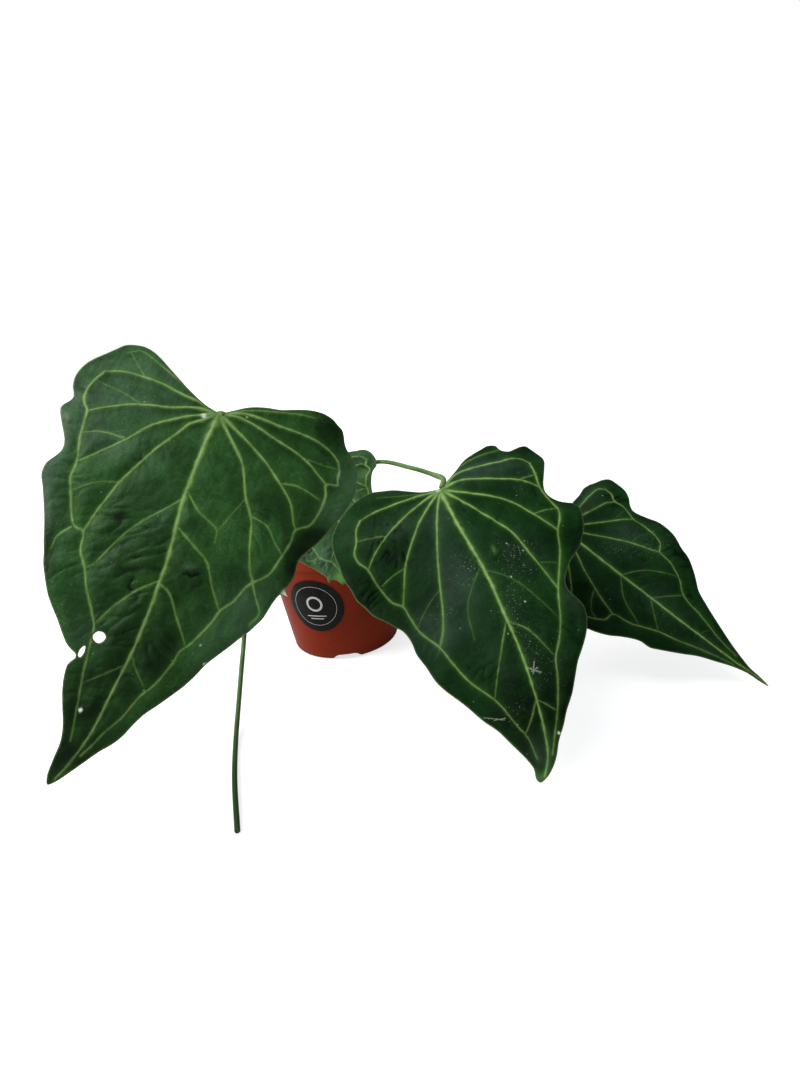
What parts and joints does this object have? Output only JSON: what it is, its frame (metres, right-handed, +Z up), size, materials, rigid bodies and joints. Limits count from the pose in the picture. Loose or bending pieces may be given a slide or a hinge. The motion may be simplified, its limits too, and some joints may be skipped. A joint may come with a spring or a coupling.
{
  "type": "potted anthurium",
  "caption": "Aroid house plant with hanging, boldly veined heart-shaped leaves on long arching stalks, growing in a round terracotta-coloured plastic nursery pot.",
  "frame": {"origin": "centre of the pot's foot, on the table that it stands on", "axes": "+X to the side that the lowest leaf reaches to, -Y towards the leaf tips and the viewer, +Z up out of the pot"},
  "size_m": [0.3947, 0.3154, 0.2484],
  "materials": {
    "pot_plastic": "satin terracotta-coloured plastic, thin moulded wall",
    "label_film": "glossy black sticker with a thin pale ring",
    "potting_mix": "rough mix of bark, fibre and pale grit",
    "stem_skin": "matt, papery sheaths over a green stem",
    "stalk_green": "smooth, slightly waxy",
    "leaf_green": "velvety satin with pale raised veins",
    "young_leaf_green": "satin, lighter green than the older leaves"
  },
  "bodies": {
    "root": {"pot": "pot_plastic", "pot_label": "label_film", "potting_mix": "potting_mix", "stem": "stem_skin", "stalk_1": "stalk_green", "stalk_2": "stalk_green", "stalk_3": "stalk_green", "stalk_4": "stalk_green", "stalk_cut": "stalk_green", "blade_1": "leaf_green", "blade_2": "leaf_green", "blade_3": "leaf_green", "blade_4": "young_leaf_green"}
  },
  "joints": []
}
